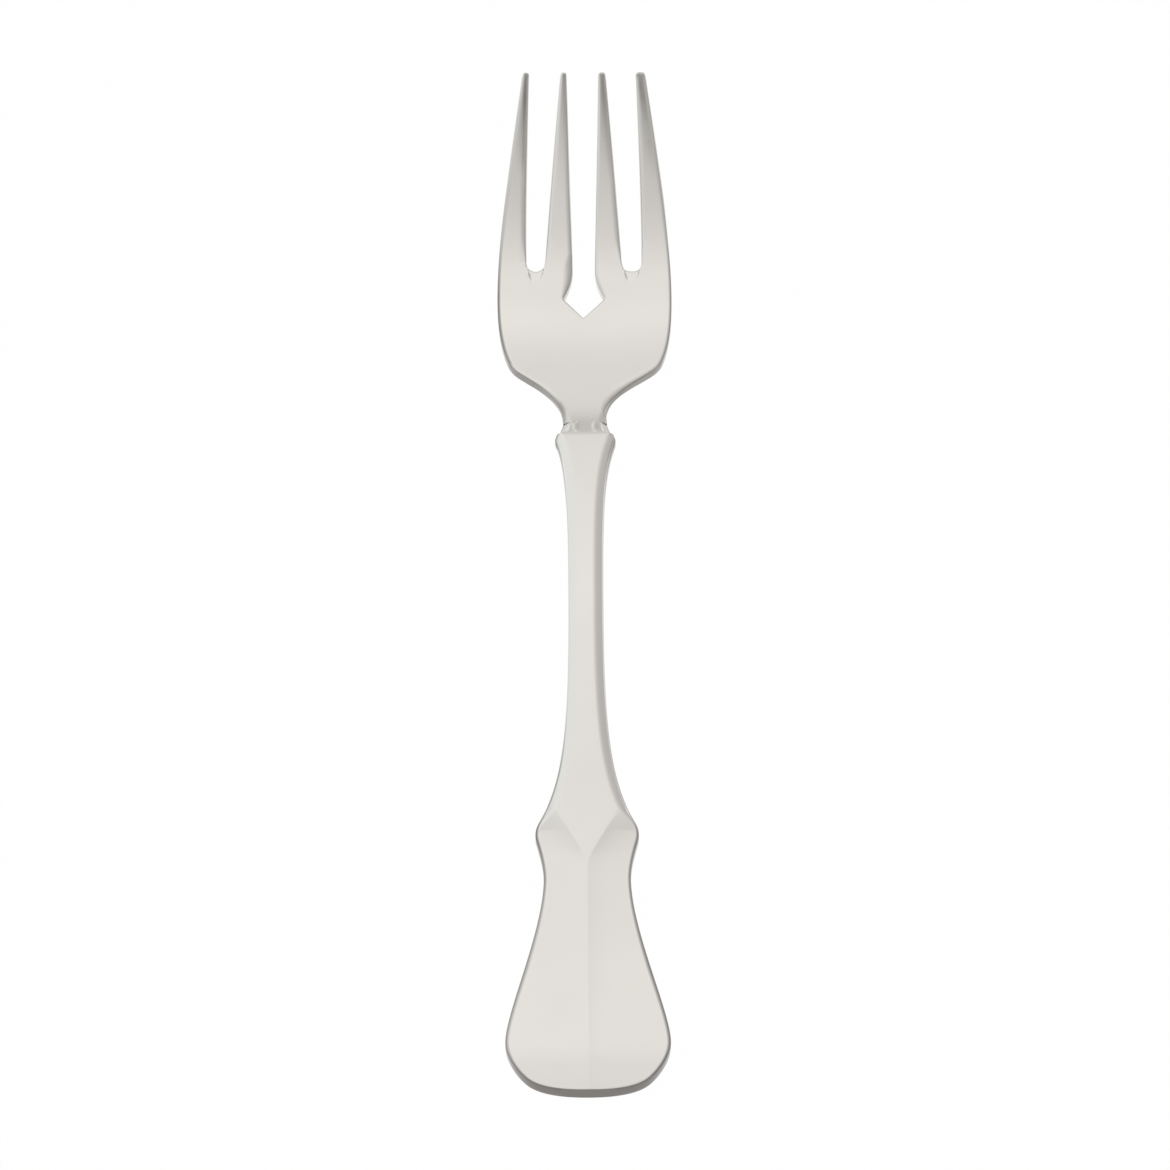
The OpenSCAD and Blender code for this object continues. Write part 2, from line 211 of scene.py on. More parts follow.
# handle: fiddle end with a ridge, flat stem with bevels, coved collar
handleShape = {
    # outline from the heel to the seam
    "endAt": 0.12, "endPull": 5.8,
    "turnWide": 19.8, "turnAt": 2.3, "turnRise": 1.2, "turnPull": 1.15,
    "heelWide": 26.7, "heelAt": 8.8, "sidePull": 2.5, "waistwardPull": 5.4,
    "waistWide": 14.2, "waistAt": 37.6, "waistPull": 8.6,
    "wingWide": 17.5, "wingAt": 45.8, "wingRise": 0.28, "wingFall": 0.6,
    "wingFallPull": 8.0, "wingRound": 1.6,
    "stemWide": 5.8, "stemPull": 24.0,
    "collarWide": 10.4, "collarBack": 3.8, "collarRise": 0.34, "collarPull": 6.6, "collarRound": 0.45,
    "covePull": 0.9, "coveSide": 0.65, "seamPull": 1.2, "seamSide": 0.25,
    "outlinePoints": (26, 22, 48, 26, 70, 60, 34),
    # the left side is a little slimmer between these stations before the seam and before the cove
    "leftSlim": 0.04, "leftSlimStart": (13, 6), "leftSlimEnd": (2, 0.5),
    # thickness
    "heelThick": 3.1, "heelLip": 0.3, "heelLipLong": 4.5, "stemThick": 3.3, "collarThick": 3.4,
    # V-shaped flat between the wings, and hollow facets with a ridge between them
    "flatAt": 49.8, "flatEndAt": 40.8, "flatSoft": 0.2,
    "facetSoft": 0.15, "ridgeSoft": 0.06, "facetHollow": 3.0,
    "ridgeSlope": ((5, 0.055), (12, 0.075), (37, 0.09), (45.8, 0.11), (49.8, 0.056)),
    "facetSlope": ((5, 0.01), (12, 0.012), (37, 0.032), (45.8, 0.066), (49.8, 0.056)),
    # bevels, crisper at the collar
    "creaseSoft": 0.55, "creaseCrisp": 0.85, "creaseCrispLong": 0.6,
    "collarDraw": 1.0, "collarDrawLong": 1.4,
    # cove between collar and seam, with a fine rib on each side
    "coveLong": 2.9, "coveSoft": 0.6, "coveBevel": 1.75, "coveEntry": (0.1, 0.5),
    "coveLean": 1.0, "coveTurn": 0.4, "seamEase": 0.35, "seamEaseLong": 1.5,
    "ribAt": 1.62, "ribHigh": 0.13, "ribSoft": 0.33, "ribStart": (0.2, 1.0), "ribEnd": 0.6,
    # softened edges: their width and painted shade along the handle, and how soon the left side's fades
    # inward
    "rimDeep": 0.3, "backRound": 0.5, "endRim": 0.04, "edgeSteps": 5,
    "rims": ((0, 0.8), (8, 0.65), (22, 0.8), (34, 0.55), (45, 0.48), (56, 0.42), (66, 0.3), (105, 0.3),
             (115, 0.6)),
    # painted shade on the edges, standing for dark reflections
    "edgeShadePaint": ((0, 1.0), (3, 1.0), (8, 0.9), (40, 0.85), (46, 1.0), (58, 0.8), (70, 0.45), (105, 0.45),
                (112, 0.75), (118, 1.0)),
    "leftFade": ((25, 1.0), (42, 0.4), (56, 0.4), (68, 1.0), (105, 1.2), (113, 4.0), (117.2, 3.5),
                 (118.3, 0.8)),
    # painted shade across the heel's end, fading out between these stations
    "endShadePaint": 0.09, "endShadePaintLong": (3.15, 9.0),
    "coveShadePaint": (0.34, 0.45),  # painted shade on the cove's sides, left and right
    "coveToneLong": 0.5, "coveToneSoft": (0.1, 0.4),
    # mesh columns across the top, closer at the crease, and lanes along the bevel's crease
    "flatColumns": (0, 0.35, 0.7), "creaseColumn": 0.85, "creaseGap": 0.2, "creaseGapShare": 0.3,
    "creaseLeast": 0.08, "creaseMost": 0.8,
    "facetColumns": (0, 0.03, 0.07, 0.13, 0.21, 0.31, 0.45, 0.62, 0.81),
    "lanes": (0.95, 0.75, 0.6, 0.5, 0.4, 0.3, 0.2, 0.1, 0, -0.1, -0.2, -0.32, -0.5, -0.75), "laneGap": 0.05,
    "wallColumns": (0.33, 0.67), "backColumns": (0.66, 0.33, 0),
}


def handleOutline(s):
    wing = (s["wingWide"] / 2, s["wingAt"])
    waist = (s["waistWide"] / 2, s["waistAt"])
    heel = (s["heelWide"] / 2, s["heelAt"])
    turn = (s["turnWide"] / 2, s["turnAt"])
    stem = (s["stemWide"] / 2, forkProfile["stemAt"])
    collar = (s["collarWide"] / 2, seamAt - s["collarBack"])
    seam = (forkProfile["neckWide"] / 2, seamAt)
    lift = (wing[1] - waist[1]) / 3
    step = collar[0] - seam[0]
    n = s["outlinePoints"]
    path = curve((0, s["endAt"]), (s["endPull"], s["endAt"]),
                 (turn[0] - s["turnRise"] * s["turnPull"], turn[1] - s["turnPull"]), turn, n[0])
    path += curve(turn, (turn[0] + s["turnRise"] * s["turnPull"], turn[1] + s["turnPull"]),
                  (heel[0], heel[1] - s["sidePull"]), heel, n[1])
    path += curve(heel, (heel[0], heel[1] + s["waistwardPull"]),
                  (waist[0], waist[1] - s["waistPull"]), waist, n[2])
    path += curve(waist, (waist[0], waist[1] + lift),
                  (wing[0] - s["wingRise"] * lift, wing[1] - lift), wing, n[3])
    path += curve(wing, (wing[0] - s["wingFall"] * s["wingFallPull"], wing[1] + s["wingFallPull"]),
                  (stem[0], stem[1] - s["stemPull"]), stem, n[4])
    path += curve(stem, (stem[0], (stem[1] + collar[1]) / 2),
                  (collar[0] - s["collarRise"] * s["collarPull"], collar[1] - s["collarPull"]), collar, n[5])
    path += curve(collar, (seam[0] + s["coveSide"] * step, collar[1] + s["covePull"]),
                  (seam[0] + s["seamSide"] * step, seam[1] - s["seamPull"]), seam, n[6])
    path.append(seam)
    path = eased(path, wing, s["wingRound"])
    return eased(path, collar, s["collarRound"])


def ribFaces(ribs):  # quads between closed ribs, and a face across the last
    count = len(ribs[0])
    last = (len(ribs) - 1) * count
    faces = []
    for j in range(0, last, count):
        for i in range(count):
            k = (i + 1) % count
            faces.append((j + i, j + k, j + count + k, j + count + i))
    faces.append(tuple(last + i for i in range(count)))
    return faces


def makeHandle(s):
    path = handleOutline(s)
    normals = inward(path, first=(0, 1), last=(-1, 0))
    normals = [n if p[1] < forkProfile["stemAt"] else Vector((-1, 0)) for p, n in zip(path, normals)]
    widths = np.array([p[0] for p in path])
    stations = np.array([p[1] for p in path])
    turns = quarterTurn(s["edgeSteps"])
    coveAt = seamAt - s["coveLong"]
    coveFall = (s["collarThick"] - forkProfile["neckThick"]) / hinge(s["coveLong"], s["coveSoft"])
    flatWide = np.interp(s["flatAt"], stations, widths) - forkProfile["bevelWide"]
    thick = [(0, s["heelThick"], 0), (s["waistAt"], s["heelThick"], 0),
             (forkProfile["stemAt"], s["stemThick"], 0), (coveAt, s["collarThick"], 0)]

    def crown(u):  # height of the middle line
        lip = s["heelLip"] * (1 - share(u, 0, s["heelLipLong"]))**2
        fall = coveFall * hinge(u - coveAt, s["coveSoft"])
        return underside(u) + lip + along(thick, min(u, coveAt)) - fall

    def bevelAt(u):  # drawn back at the corners of the collar's top, and whole again in the cove
        draw = 1 - math.sqrt(1 - share(u, coveAt - s["collarDrawLong"], coveAt)**2)
        stem = forkProfile["bevelWide"] * share(u, s["wingAt"], s["flatAt"]) - s["collarDraw"] * draw
        cove = s["coveBevel"] + (forkProfile["bevelWide"] - s["coveBevel"]) * share(u, coveAt, seamAt)
        return stem + (cove - stem) * smoothShare(u, coveAt - s["coveEntry"][0], coveAt + s["coveEntry"][1])

    def bevelSlope(u):  # steeper in the cove, and easier again at the seam
        stem = forkProfile["bevelSlope"]
        turn = smoothShare(u, coveAt - s["coveTurn"], coveAt + s["coveTurn"])
        ease = 1 - s["seamEase"] * smoothShare(u, seamAt - s["seamEaseLong"], seamAt)
        return stem + (s["coveLean"] - stem) * turn * ease

    def ribHeight(x, u):
        swell = smoothShare(u, coveAt + s["ribStart"][0], coveAt + s["ribStart"][1])
        swell *= smoothShare(u, seamAt, seamAt - s["ribEnd"])
        return s["ribHigh"] * swell * math.exp(-0.5 * ((x - s["ribAt"]) / s["ribSoft"])**2)

    def facetFall(away, u):  # steepest beside the ridge
        far = lookUp(s["facetSlope"], u)
        hollow = s["facetHollow"] * (1 - math.exp(-away / s["facetHollow"]))
        return far * away + (lookUp(s["ridgeSlope"], u) - far) * hollow

    def topHeight(x, u, d):  # d is the distance from the outline
        bevel = bevelAt(u)
        flat = np.interp(u, stations, widths) - bevel
        if u < s["flatAt"]:
            flat = flatWide * hinge((u - s["flatEndAt"]) / (s["flatAt"] - s["flatEndAt"]), s["flatSoft"])
        off = math.sqrt(x * x + s["ridgeSoft"]**2)
        facet = facetFall(hinge(off - flat, s["facetSoft"]), u)
        soft = s["creaseSoft"] * (1 - s["creaseCrisp"] * share(u, coveAt - s["creaseCrispLong"], coveAt))
        return crown(u) + ribHeight(x, u) - facet - bevelSlope(u) * hinge(bevel - d, soft)

    def leftShare(u):
        slim = smoothShare(u, seamAt - s["leftSlimStart"][0], seamAt - s["leftSlimStart"][1])
        slim *= 1 - smoothShare(u, coveAt - s["leftSlimEnd"][0], coveAt - s["leftSlimEnd"][1])
        return 1 - s["leftSlim"] * slim

    # painted shade near the heel's end
    def endTone(u):
        return s["endShadePaint"] * (1 - smoothShare(u, *s["endShadePaintLong"]))

    def coveTone(u, d):  # painted shade on the sides of the cove
        return smoothShare(u, coveAt, coveAt + s["coveToneLong"]) * share(bevelAt(u) - d, *s["coveToneSoft"])

    def columnsAt(x, u):  # places across the top, from the middle to x
        count = len(s["flatColumns"]) + 2 + len(s["facetColumns"])
        if u >= s["flatAt"]:
            return [x * i / count for i in range(count)]
        crease = max(s["creaseLeast"], share(u, s["flatEndAt"], s["flatAt"]) * flatWide)
        crease = min(s["creaseMost"] * x, crease)
        past = crease + min(s["creaseGap"], s["creaseGapShare"] * (x - crease))
        columns = [f * crease for f in s["flatColumns"]]
        columns += [max(s["creaseColumn"] * crease, crease - s["creaseGap"]), crease]
        return columns + [past + f * (x - past) for f in s["facetColumns"]]

    ribs, tones = [], []
    for (x, u), n in zip(path, normals):
        rim = rimWidth(n, lookUp(s["rims"], u), s["endRim"])
        backRim = rimWidth(n, s["backRound"], s["endRim"])
        deep = min(rim, s["rimDeep"])
        shade = lookUp(s["edgeShadePaint"], u)
        fade = lookUp(s["leftFade"], u)
        half, tone, leftTone = [], [], []

        def add(d, steep, drop=0.0, z=None):  # a point d inside the outline, on the top if z isn't given
            px, pu = max(0.0, x + n.x * d), u + n.y * d
            end = cove = 0.0
            if z is None:
                z = topHeight(px, pu, d) - drop
                end, cove = endTone(pu), coveTone(pu, d)
            half.append((px, pu, z))
            # tones are painted shade, strongest on the steep part of each edge
            tone.append(max(end, s["coveShadePaint"][1] * cove, shade * steep))
            leftTone.append(max(end, s["coveShadePaint"][0] * cove, shade * steep**fade))

        least = [rim + s["laneGap"] * (len(s["lanes"]) - i) for i in range(len(s["lanes"]))]
        lanes = [max(bevelAt(u) + lane, low) for lane, low in zip(s["lanes"], least)]
        edgeX, edgeU = max(0.0, x + n.x * lanes[0]), u + n.y * lanes[0]
        for px in columnsAt(edgeX, edgeU):
            half.append((px, edgeU, topHeight(px, edgeU, lanes[0] + edgeX - px)))
            tone.append(endTone(edgeU))
            leftTone.append(endTone(edgeU))
        for d in lanes:
            add(d, 0.0)
        for a in reversed(turns):
            add(rim * (1 - math.cos(a)), max(0.0, math.cos(a)), drop=deep * (1 - math.sin(a)))
        wallTop, wallLow = half[-1][2], underside(u) + backRim
        for f in s["wallColumns"]:
            add(0, 1.0, z=wallTop + (wallLow - wallTop) * f)
        for a in turns:
            d = backRim * (1 - math.cos(a))
            add(d, max(0.0, math.cos(a)), z=underside(u + n.y * d) + backRim * (1 - math.sin(a)))
        lowX, lowU, _ = half[-1]
        for f in s["backColumns"]:
            half.append((f * lowX, lowU, underside(lowU)))
            tone.append(0.0)
            leftTone.append(0.0)
        ribs.append(half + [(-px * leftShare(pu), pu, z) for px, pu, z in reversed(half[1:-1])])
        tones += tone + leftTone[-2:0:-1]
    return makeObject("handleBody", [v for rib in ribs for v in rib], ribFaces(ribs), tones)


# head: four tines, blade with shoulders, neck; stations count from the seam
headShape = {
    "neckLong": 1.2, "neckShift": -0.13, "neckShiftBy": (2, 6, 11),
    "shoulderRise": 1.32, "shoulderLong": 2.8, "shoulderPull": 2.4,
    "cornerAt": 11.4, "cornerLift": 0.1, "cornerRound": 1.3, "sideRise": 0.6, "sidePull": 2.4,
    "headWide": 29.6, "headAt": 25.4, "tipsWide": 20.8, "tineWide": 4.8, "tineLean": 0.28,
    "growFrom": (4, 16),     # stretch past the slots' roots where the right tine grows broader
    "capLong": 0.5, "capGap": 0.1, "capSquare": 0.8, "capRound": 0.4,
    "rootAt": 30.7, "slotBend": 1.35,
    "notchAt": 21.8, "notchMidAt": 25.5, "notchTopAt": 29.2, "notchShift": -0.2,
    "notchRound": 0.25, "flareRound": 1.8,
    "outerPoints": (4, 30, 10, 34, 90), "capPoints": 16, "slotPoints": 80, "rootPoints": 24,
    "midPoints": 84, "flarePoints": 12, "notchPoints": 14, "seamPoints": 24,
    # thickness
    "neckThin": 2.25, "neckThinAt": 4.5, "shoulderThick": 2.33, "bladeThick": 2.35, "tipThick": 1.3,
    "bevelEndAt": 7.0, "creaseSoft": 0.22,
    # softened edges: widths, the stretches past the slots' roots where they change, and their depth as a
    # share of the width at the root and at the tip
    "outerRound": 0.8, "outerRoundFrom": (-4, 18), "slotRound": 1.0, "slotRoundFrom": (0.8, 6),
    "rootRim": 0.3, "notchEdge": 0.2, "edgeShare": 0.42, "edgeDeep": (0.6, 1.2), "edgeDeepMost": 0.4,
    "edgeSteps": 6,
    # chute into the root of each outer slot, its half width as a share of the root's radius, and painted
    # shade along its sides
    "scoopLong": 2.1, "scoopDeep": 0.5, "scoopSoft": 0.09, "scoopWide": (0.45, 0.95),
    "scoopPower": 1.4, "scoopSidePower": 0.5, "scoopShadePaint": 0.42,
    # mesh inside the outline
    "fillStep": 0.7, "fineStep": 0.25, "fineMargin": 0.6,
    "scoopRows": 24, "scoopClear": 0.06, "sideClear": 0.12, "edgeClear": 0.45,
    # painted shade on the slots' edges, and how soon the painted shade fades inward from an edge
    "slotShadePaint": ((22, 0.55), (28, 0.4), (34, 0.4), (46, 0.3), (60, 0.2)),
    "leftFade": 0.5, "rightFade": ((1.5, 0.9), (4, 3.5), (8, 4.5), (12, 2.0)),
    "slotFade": 1.0, "slotPale": 0.6, "endTurn": (0.4, 0.75),
    "neckDarkAmount": 0.34, "neckDarkFull": (2.0, 0.2),  # darker on the left of the neck
    # each tine from the left: its painted shade, and a painted dark reflection streak with its distance from
    # the tine's right edge, its widths to the left and right, and its amounts along the tine
    "tineShading": (0.085, 0, 0.05, 0.1), "tineShadingFrom": (35, 45), "tineGap": 0.6,
    "reflectionStreaks": (
        (0.62, 0.38, 0.28, ((47, 0.1), (50, 0.4), (54, 0.42), (57, 0.53), (59.6, 0.66), (61.5, 0.5),
                            (62.8, 0.35))),
        (0.25, 0.45, 0.3, ((44, 0), (46, 0.15), (50, 0.23), (54, 0.28), (57, 0.34), (60, 0.3), (63, 0.3))),
        (0.5, 0.75, 0.3, ((46, 0), (50, 0.18), (54, 0.29), (57, 0.35), (59.6, 0.42), (62, 0.4),
                          (63.2, 0.2))),
        (1.1, 0.5, 0.5, ((46, 0), (50, 0.15), (54, 0.22), (57, 0.22), (58.5, 0.36), (59.6, 0.43),
                         (61.5, 0.38), (63, 0.18))),
    ),
    # what differs between the halves: outline, then edge widths and painted shade
    "left": {
        "cornerWide": 24.3, "neckPull": 2.0, "grow": 0.0,
        "slotWide": 3.2, "slotTipWide": 5.3, "slotX": 8.29, "slotTipX": 6.6, "rootSquare": 1.12,
        "midHalf": 1.9, "midTipHalf": 2.86, "notchWide": 7.2,
        "rims": ((0, 0.5), (2.5, 0.95), (5.5, 1.1), (9.5, 0.7), (12, 0.55)),
        "midRims": ((25.5, 0.4), (28, 1.6), (30, 2.0), (33.5, 0.9)), "endRim": 0.45, "endFade": 3.0,
        "edgeShadePaint": ((0, 0.78), (5, 0.78), (9, 0.84), (13, 0.84), (18, 0.95), (26, 0.95), (34, 0.6),
                    (46, 0.3), (60, 0.2)),
    },
    "right": {
        "cornerWide": 24.7, "neckPull": 2.75, "grow": 0.16,
        "slotWide": 3.4, "slotTipWide": 5.12, "slotX": 8.08, "slotTipX": 6.35, "rootSquare": 0.85,
        "midHalf": 1.73, "midTipHalf": 2.5, "notchWide": 6.8,
        "rims": ((0, 0.45), (1.8, 0.65), (3.5, 1.5), (5.5, 2.3), (8, 1.45), (9.5, 0.85), (12, 0.55)),
        "midRims": ((25.5, 0.4), (28, 0.6)), "endRim": 0.95, "endFade": 6.5,
        "edgeShadePaint": ((0, 0.85), (6, 0.92), (8.5, 0.8), (13, 0.82), (18, 0.95), (26, 0.95), (34, 0.6),
                    (46, 0.3), (60, 0.2)),
    },
}


def halfOf(s, x):
    return s["right"] if x > 0 else s["left"]


def headOutline(s, side):  # one half: up the outer edge, down and up the slot, and down to the notch
    mine = halfOf(s, side)
    rootU, rootR = seamAt + s["rootAt"], mine["slotWide"] / 2
    notchTop = seamAt + s["notchTopAt"]
    capStart = tipAt - (s["capLong"] + s["capGap"])
    tineTip = s["tipsWide"] / 2 - mine["slotTipX"] - mine["slotTipWide"] / 2

    def tineRound(u, most):  # the edges of a tine meet near its tip
        wide = s["tineWide"] + (tineTip - s["tineWide"]) * share(u, rootU, tipAt)
        return min(most, s["edgeShare"] * wide)

    def outerEdge(u):
        plain = lookUp(mine["rims"], u - seamAt)
        blend = smoothShare(u, rootU + s["outerRoundFrom"][0], rootU + s["outerRoundFrom"][1])
        return tineRound(u, plain + (s["outerRound"] - plain) * blend)

    def slotEdge(u):  # crisper round the root
        blend = smoothShare(u, rootU + s["slotRoundFrom"][0], rootU + s["slotRoundFrom"][1])
        return tineRound(u, s["rootRim"] + (s["slotRound"] - s["rootRim"]) * blend)

    def midEdge(u):
        return lookUp(mine["midRims"], u - seamAt)

    def slotMid(u):
        return mine["slotX"] + (mine["slotTipX"] - mine["slotX"]) * share(u, rootU, tipAt)**s["slotBend"]

    def slotHalf(u):
        return rootR + (mine["slotTipWide"] / 2 - rootR) * share(u, rootU + rootR, tipAt)

    def midHalf(u):
        return mine["midHalf"] + (mine["midTipHalf"] - mine["midHalf"]) * share(u, notchTop, tipAt)

    def grow(u):  # the neck leans a little to the left, and the right tine is a little broader
        full, back, gone = (seamAt + station for station in s["neckShiftBy"])
        lean = smoothShare(u, seamAt, full) * (1 - smoothShare(u, back, gone))
        broad = smoothShare(u, rootU + s["growFrom"][0], rootU + s["growFrom"][1])
        return side * s["neckShift"] * lean + mine["grow"] * broad

    def cap(right, left):  # blunt end of a tine
        points = []
        for a in spaced(0, math.pi, s["capPoints"]):
            across, up = squareTurn(a, s["capSquare"])
            points.append(((right + left) / 2 + (right - left) / 2 * across, tipAt - s["capLong"] * (1 - up),
                           tineRound(tipAt, s["capRound"])))
        return points

    neck = (forkProfile["neckWide"] / 2, seamAt + s["neckLong"])
    corner = (mine["cornerWide"] / 2, seamAt + s["cornerAt"] + side * s["cornerLift"])
    shoulder = (corner[0] - s["shoulderRise"] * s["shoulderLong"], corner[1] - s["shoulderLong"])
    wide = (s["headWide"] / 2, seamAt + s["headAt"])
    tip = (s["tipsWide"] / 2, tipAt)
    n = s["outerPoints"]
    outer = curve((neck[0], seamAt), neck, neck, neck, n[0])
    outer += curve(neck, (neck[0], neck[1] + mine["neckPull"]),
                   (shoulder[0] - s["shoulderRise"] * s["shoulderPull"], shoulder[1] - s["shoulderPull"]),
                   shoulder, n[1])
    outer += curve(shoulder, shoulder, corner, corner, n[2])
    outer += curve(corner, (corner[0] + s["sideRise"] * s["sidePull"], corner[1] + s["sidePull"]),
                   (wide[0], (corner[1] + wide[1]) / 2), wide, n[3])
    outer += curve(wide, (wide[0], (3 * wide[1] + tip[1]) / 4),
                   (wide[0] - s["tineLean"] * (wide[0] - tip[0]), (wide[1] + tip[1]) / 2), tip, n[4])
    outer.append(tip)
    outer = [(x + grow(u), u) for x, u in eased(outer, corner, s["cornerRound"])]

    # each point has the width of its softened edge
    path = [(x, u, outerEdge(u)) for x, u in outer if u < capStart]
    slotFrom = len(path) + s["capPoints"] // 2
    slot = spaced(tipAt, rootU + rootR, s["slotPoints"])
    path += cap(tip[0] + grow(tipAt), slotMid(tipAt) + slotHalf(tipAt))
    path += [(slotMid(u) + slotHalf(u), u, slotEdge(u)) for u in slot if u < capStart]
    for a in spaced(0, math.pi, s["rootPoints"])[1:-1]:
        across, up = squareTurn(a, mine["rootSquare"])
        path.append((mine["slotX"] + rootR * across, rootU + rootR * (1 - up), slotEdge(rootU)))
    path += [(slotMid(u) - slotHalf(u), u, slotEdge(u)) for u in reversed(slot) if u < capStart]
    path += cap(slotMid(tipAt) - slotHalf(tipAt), midHalf(tipAt))
    middle = spaced(tipAt, notchTop, s["midPoints"])
    path += [(midHalf(u), u, tineRound(u, midEdge(u))) for u in middle if u < capStart]
    flare = (mine["notchWide"] / 2, seamAt + s["notchMidAt"])
    point = (side * s["notchShift"], seamAt + s["notchAt"])
    for t in spaced(0, 1, s["flarePoints"])[1:]:
        u = notchTop + (flare[1] - notchTop) * t
        path.append((mine["midHalf"] + (flare[0] - mine["midHalf"]) * t, u, midEdge(u)))
    for t in spaced(0, 1, s["notchPoints"])[1:]:
        path.append((flare[0] + (point[0] - flare[0]) * t, flare[1] + (point[1] - flare[1]) * t,
                     s["notchEdge"] * (2 - t)))
    path = eased(path, flare, s["notchRound"], 6)
    path = eased(path, (mine["midHalf"], notchTop), s["flareRound"])

    shades = []  # how much painted shade each point's edge gets, and whether it is in a slot
    for i, (_, u, _) in enumerate(path):
        knots = s["slotShadePaint"] if i >= slotFrom else mine["edgeShadePaint"]
        shades.append((lookUp(knots, u - seamAt), i >= slotFrom))
    slot.reverse()
    edges = {"outer": ([u for _, u in outer], [x for x, _ in outer]),
             "far": (slot, [slotMid(u) + slotHalf(u) for u in slot]),
             "near": (slot, [slotMid(u) - slotHalf(u) for u in slot]),
             "mid": (slot, [midHalf(u) for u in slot])}
    return path, shades, edges


def fillInside(flat, ring, spots, onlyInside=1, within=1e-5):  # triangles in the ring; the spots join flat
    plan = [Vector(flat[i]) for i in ring] + [Vector(p) for p in spots]
    loop = list(range(len(ring)))
    made, _, tris, origin, _, _ = delaunay_2d_cdt(plan, [], [loop], onlyInside, within)
    index = {i: ring[source[0]] for i, source in enumerate(origin) if source and source[0] < len(ring)}
    filled = []
    for tri in tris:
        for i in tri:
            if i not in index:
                index[i] = len(flat)
                flat.append((made[i].x, made[i].y))
        filled.append(tuple(index[i] for i in tri))
    return filled


def shellFaces(filled, rings, seamRow, count):  # top, underside, softened edges, side wall and seam
    faces = []
    for tri in filled:
        faces += [tri, tuple(count + i for i in reversed(tri))]
    steps = range(len(rings[0]) - 1)
    for a, b in zip(rings, rings[1:]):
        for i in steps:
            faces.append((a[i], a[i + 1], b[i + 1], b[i]))
            faces.append((count + a[i + 1], count + a[i], count + b[i], count + b[i + 1]))
    wall = rings[0]
    for i in steps:
        faces.append((wall[i + 1], wall[i], count + wall[i], count + wall[i + 1]))
    across = [r[0] for r in rings] + seamRow[::-1] + [r[-1] for r in reversed(rings)]
    faces.append(tuple(reversed(across)) + tuple(count + i for i in across))
    return faces


